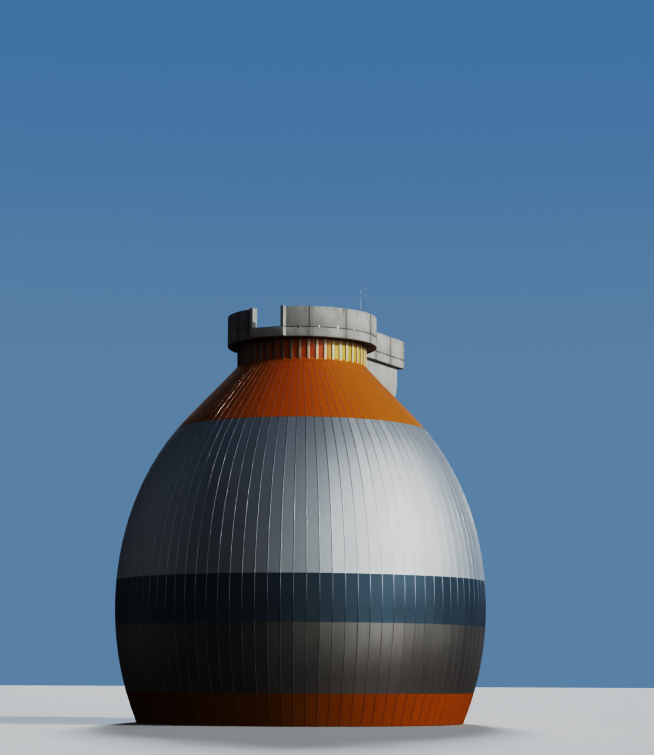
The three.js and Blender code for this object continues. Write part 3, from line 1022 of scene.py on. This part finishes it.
# Fixing plates: small galvanised plates that tie the parapet panels to the fascia, a little over a
# metre apart. Each is bolted above and below the joint, and glints where it faces the light.
PLATE_WIDTH, PLATE_HEIGHT, PLATE_DEPTH = 0.10, 0.17, 0.014
PLATE_BEVEL = 0.003
PLATE_BEDDING = 0.002
BOLT_RADIUS, BOLT_HEIGHT, BOLT_OFFSET = 0.017, 0.014, 0.052
PLATE_FIRST_ANGLE, PLATE_LAST_ANGLE, PLATE_STEP = 23.8, 143.8, 15.0
PLATES_ON_PLATFORM_SIDE = 2 * PANELS_A_SIDE
PLATE_BRIGHT = (0.36, 0.355, 0.34, 1.0)
PLATE_DULL = (0.19, 0.165, 0.14, 1.0)

plate_finish, shader, place = new_finish("galvanised_plate")
rust = place.noise(14.0, detail=4.0).rise(0.45, 0.75)
feed(
    shader,
    Base_Color=rust.mix(PLATE_BRIGHT, PLATE_DULL),
    Metallic=0.95 - rust * 0.3,
    Roughness=rust * 0.15 + 0.45,
    Normal=relief(rust, distance=0.0008),
)


def start_plate(name, distance):
    """One plate with its two bolts, on the side that faces -Y."""
    face = distance + PLATE_DEPTH - PLATE_BEDDING
    plate = start_mesh(
        name,
        bpy.ops.mesh.primitive_cube_add,
        size=1,
        location=(0, PLATE_DEPTH / 2 - face, DECK_TOP_Z),
        scale=(PLATE_WIDTH, PLATE_DEPTH, PLATE_HEIGHT),
    )
    bpy.ops.mesh.bevel(offset=PLATE_BEVEL, segments=2)
    for side in (1, -1):
        bpy.ops.mesh.primitive_cylinder_add(
            vertices=6,
            radius=BOLT_RADIUS,
            depth=BOLT_HEIGHT,
            location=(0, -face - BOLT_HEIGHT / 2, DECK_TOP_Z + side * BOLT_OFFSET),
            rotation=(math.radians(90), 0, 0),
        )
    bpy.ops.mesh.select_all(action="SELECT")
    bpy.ops.mesh.normals_make_consistent(inside=False)
    return plate


for side, side_name in ((1, "east"), (-1, "west")):
    plates = start_plate(f"head_plates_{side_name}", HEAD_RADIUS)
    bpy.ops.object.mode_set(mode="OBJECT")
    plates.rotation_euler.z = math.radians(side * PLATE_FIRST_ANGLE)
    bpy.ops.object.transform_apply()
    bpy.ops.object.mode_set(mode="EDIT")
    bpy.ops.mesh.select_all(action="SELECT")
    bpy.ops.mesh.spin(
        steps=round((PLATE_LAST_ANGLE - PLATE_FIRST_ANGLE) / PLATE_STEP),
        dupli=True,
        angle=math.radians(PLATE_LAST_ANGLE - PLATE_FIRST_ANGLE),
        center=(0, 0, 0),
        axis=(0, 0, -side),
    )
    bpy.ops.mesh.select_all(action="SELECT")
    finish_piece(plates, plate_finish)

    plates = start_plate(f"platform_plates_{side_name}", PLATFORM_SIDE)
    bpy.ops.object.mode_set(mode="OBJECT")
    plates.rotation_euler.z = math.radians(side * 90)
    plates.location.y = PANEL_START_Y + PANEL_LENGTH / 4
    bpy.ops.object.transform_apply()
    bpy.ops.object.mode_set(mode="EDIT")
    bpy.ops.mesh.select_all(action="SELECT")
    for number in range(PLATES_ON_PLATFORM_SIDE - 1):
        bpy.ops.mesh.duplicate_move(TRANSFORM_OT_translate={"value": (0, PANEL_LENGTH / 2, 0)})
    bpy.ops.mesh.select_all(action="SELECT")
    finish_piece(plates, plate_finish)


# Joint seals: a grey rubber strip set back in each upright joint between two panels of the head or of
# the platform, so that the joints don't show daylight.
SEAL_WIDTH = 0.026
SEAL_SETBACK = 0.012
SEAL_DEPTH = 0.12
SEAL_BEVEL = 0.004
HEAD_SEAMS = [FIRST_PANEL_SEAM + number * PANEL_ANGLE for number in (1, 2, 3, 4)]
SEAL_BOTTOM_Z = DECK_TOP_Z + 0.001
SEAL_TOP_Z = PARAPET_TOP_Z - 0.02
SEAL_DARK = (0.085, 0.082, 0.077, 1.0)
SEAL_CHALKED = (0.13, 0.125, 0.115, 1.0)

seal_finish, shader, place = new_finish("seal_rubber")
perished = place.noise(30.0, detail=3.0).rise(0.4, 0.7)
feed(
    shader,
    Base_Color=perished.mix(SEAL_DARK, SEAL_CHALKED),
    Roughness=perished * 0.2 + 0.7,
    Normal=relief(perished, distance=0.001),
)


def add_seal(name, turn, distance, place_y):
    """A seal in a joint at this turn round the head, or across the platform at place_y."""
    outer = distance - SEAL_SETBACK
    seal = start_mesh(
        name,
        bpy.ops.mesh.primitive_cube_add,
        size=1,
        location=(0, -(outer - SEAL_DEPTH / 2), (SEAL_BOTTOM_Z + SEAL_TOP_Z) / 2),
        scale=(SEAL_WIDTH, SEAL_DEPTH, SEAL_TOP_Z - SEAL_BOTTOM_Z),
    )
    bpy.ops.mesh.bevel(offset=SEAL_BEVEL, segments=2)
    bpy.ops.mesh.select_all(action="SELECT")
    bpy.ops.object.mode_set(mode="OBJECT")
    seal.rotation_euler.z = math.radians(turn)
    seal.location.y = place_y
    bpy.ops.object.transform_apply()
    finish_piece(seal, seal_finish)


for turn in HEAD_SEAMS:
    add_seal(f"head_seal_east_{round(turn)}", turn, HEAD_RADIUS, 0.0)
    add_seal(f"head_seal_west_{round(turn)}", -turn, HEAD_RADIUS, 0.0)
for number in range(1, PANELS_A_SIDE):
    joint_y = PANEL_START_Y + number * PANEL_LENGTH
    add_seal(f"platform_seal_east_{number}", 90.0, PLATFORM_SIDE, joint_y)
    add_seal(f"platform_seal_west_{number}", -90.0, PLATFORM_SIDE, joint_y)


# Console: a tapering block cast on the egg under the platform, with a pour joint at its kink and
# chamfered edges. Folded flashings close the cladding against both of its sides.
CONSOLE_CHAMFER = 0.03
POUR_JOINT_Z = 18.97
GROOVE_HALF = 0.02
GROOVE_DRAW = 0.988
GROOVE_CENTRE_Y = 7.5
BOARDS_PER_METRE = 3.2
JOINT_RUN = 0.8

console = cast_copy(["console"], "console_cast", CONSOLE_CHAMFER)
bpy.ops.object.mode_set(mode="EDIT")
for z in (POUR_JOINT_Z - GROOVE_HALF, POUR_JOINT_Z, POUR_JOINT_Z + GROOVE_HALF):
    bpy.ops.mesh.select_all(action="SELECT")
    bpy.ops.mesh.bisect(plane_co=(0, 0, z), plane_no=(0, 0, 1))
select_only(console, "vertices", lambda vertex: abs(vertex.co.z - POUR_JOINT_Z) < TOLERANCE)
bpy.ops.transform.resize(
    value=(GROOVE_DRAW, GROOVE_DRAW, 1), center_override=(0, GROOVE_CENTRE_Y, POUR_JOINT_Z)
)

console_finish, shader, place = new_finish("console_concrete")
clouds = place.noise(0.7, detail=5.0, roughness=0.6)
grain = place.noise(12.0, detail=3.0, roughness=0.7)
board = place.part("Y") * BOARDS_PER_METRE + place.part("X") * BOARDS_PER_METRE
board_edge = abs(board % 1.0 - 0.5).rise(0.46, 0.5)
board_shade = place.node(
    "TexWhiteNoise", {"noise_dimensions": "1D"}, {"W": board.math("FLOOR", board)}
)
runs = place.scaled((4.5, 4.5, 0.3)).noise(1.0, detail=5.0, roughness=0.6).rise(0.45, 0.75)
height = place.part("Z")
below_joint = height.rise(POUR_JOINT_Z - JOINT_RUN, POUR_JOINT_Z)
below_joint = below_joint * height.rise(POUR_JOINT_Z + LIFT_LINE, POUR_JOINT_Z)
tone = (clouds * 0.6 + grain * 0.25 + board_shade * 0.15).rise(0.34, 0.64)
stain = runs * (below_joint * 0.4 + 0.18) + board_edge * 0.10
feed(
    shader,
    Base_Color=stain.mix(tone.mix(CONCRETE_DARK, CONCRETE_LIGHT), CONCRETE_STAIN),
    Roughness=0.88 - grain * 0.12,
    Normal=relief(grain * 0.3 + clouds * 0.5 - board_edge * 0.4, distance=0.006),
)
finish_piece(console, console_finish, ["console"])

FLASHING_LEG = 0.10
FLASHING_THICKNESS = 0.004
WALL_LEG_GAP = 0.003
LAP_LEG_GAP = 0.002
FLASHING_BOTTOM_Z = CONSOLE_TIP_Z + 0.15
FLASHING_TOP_Z = NECK_BOTTOM_Z - 0.05
FLASHINGS = [
    ("silver", FLASHING_BOTTOM_Z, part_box("body_cladding")[1].z, silver, "silver_cladding"),
    ("orange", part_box("cone_cladding")[0].z, FLASHING_TOP_Z, orange, "orange_cladding"),
]
LEGS = [
    ("wall", (FLASHING_THICKNESS, FLASHING_LEG), (WALL_LEG_GAP, FLASHING_LEG / 2)),
    ("lap", (FLASHING_LEG, FLASHING_THICKNESS), (FLASHING_LEG / 2, SHEET_DEPTH + LAP_LEG_GAP)),
]


def add_flashing(name, side, bottom, top, size, offset):
    """A strip of sheet that climbs the egg beside the console, one leg of the folded angle."""
    levels = band_levels(bottom, top)
    x = CONSOLE_SIDE + offset[0]

    def surface_y(z):
        return math.sqrt((egg_radius(z) - SHEET_DEPTH) ** 2 - x**2) + offset[1]

    strip = start_mesh(
        name,
        bpy.ops.mesh.primitive_plane_add,
        size=1,
        location=(side * x, surface_y(levels[0]), levels[0]),
    )
    bpy.ops.transform.resize(value=(size[0], size[1], 1))
    for z0, z1 in zip(levels, levels[1:]):
        step = (0, surface_y(z1) - surface_y(z0), z1 - z0)
        bpy.ops.mesh.extrude_region_move(TRANSFORM_OT_translate={"value": step})
    bpy.ops.mesh.select_all(action="SELECT")
    bpy.ops.mesh.normals_make_consistent(inside=False)
    return strip


for colour, bottom, top, material, slot in FLASHINGS:
    for side, side_name in ((1, "east"), (-1, "west")):
        for leg, size, offset in LEGS:
            name = f"flashing_{colour}_{side_name}_{leg}"
            finish_piece(add_flashing(name, side, bottom, top, size, offset), material)


# Lightning rods: galvanised steel, each a pipe that steps down to a thin point, on a small foot
# plate. One stands in the middle of the deck and two close to the parapet's inner face.
ROD_SIDES = 12
ROD_RADIUS = 0.02
ROD_STEPS = [(0.45, 0.019), (0.452, 0.013), (0.80, 0.012), (0.802, 0.007), (0.985, 0.006)]
ROD_TIP_RADIUS = 0.002
FOOT_RADIUS = 0.09
FOOT_HEIGHT = 0.012
ROD_BRIGHT = (0.32, 0.33, 0.34, 1.0)
ROD_DULL = (0.21, 0.21, 0.20, 1.0)

rod_finish, shader, place = new_finish("galvanised_steel")
spangle = place.node("TexVoronoi", inputs={"Vector": place, "Scale": 60.0}, output="Color")
weathered = place.noise(3.0, detail=4.0).rise(0.35, 0.7)
feed(
    shader,
    Base_Color=(spangle.part("X") * 0.4 + weathered * 0.6).mix(ROD_BRIGHT, ROD_DULL),
    Metallic=0.95 - weathered * 0.35,
    Roughness=weathered * 0.2 + 0.38,
    Normal=relief(spangle.part("X"), distance=0.0005),
)
for node in ("lightning_rod_centre", "lightning_rod_tall", "lightning_rod_short"):
    low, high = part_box(node)
    x, y, length = (low.x + high.x) / 2, (low.y + high.y) / 2, high.z - low.z
    rod = start_mesh(
        node + "_steel",
        bpy.ops.mesh.primitive_circle_add,
        vertices=ROD_SIDES,
        radius=FOOT_RADIUS,
        location=(x, y, low.z),
        fill_type="NGON",
    )
    rings = [(0.0, FOOT_RADIUS), (FOOT_HEIGHT, FOOT_RADIUS), (FOOT_HEIGHT, ROD_RADIUS)]
    rings += [(share * length, radius) for share, radius in ROD_STEPS]
    rings.append((length, ROD_TIP_RADIUS))
    for (z0, radius0), (z1, radius1) in zip(rings, rings[1:]):
        bpy.ops.mesh.extrude_region_move(TRANSFORM_OT_translate={"value": (0, 0, z1 - z0)})
        widen = radius1 / radius0
        bpy.ops.transform.resize(value=(widen, widen, 1), center_override=(x, y, low.z + z1))
    bpy.ops.mesh.select_all(action="SELECT")
    bpy.ops.mesh.normals_make_consistent(inside=False)
    finish_piece(rod, rod_finish, [node])
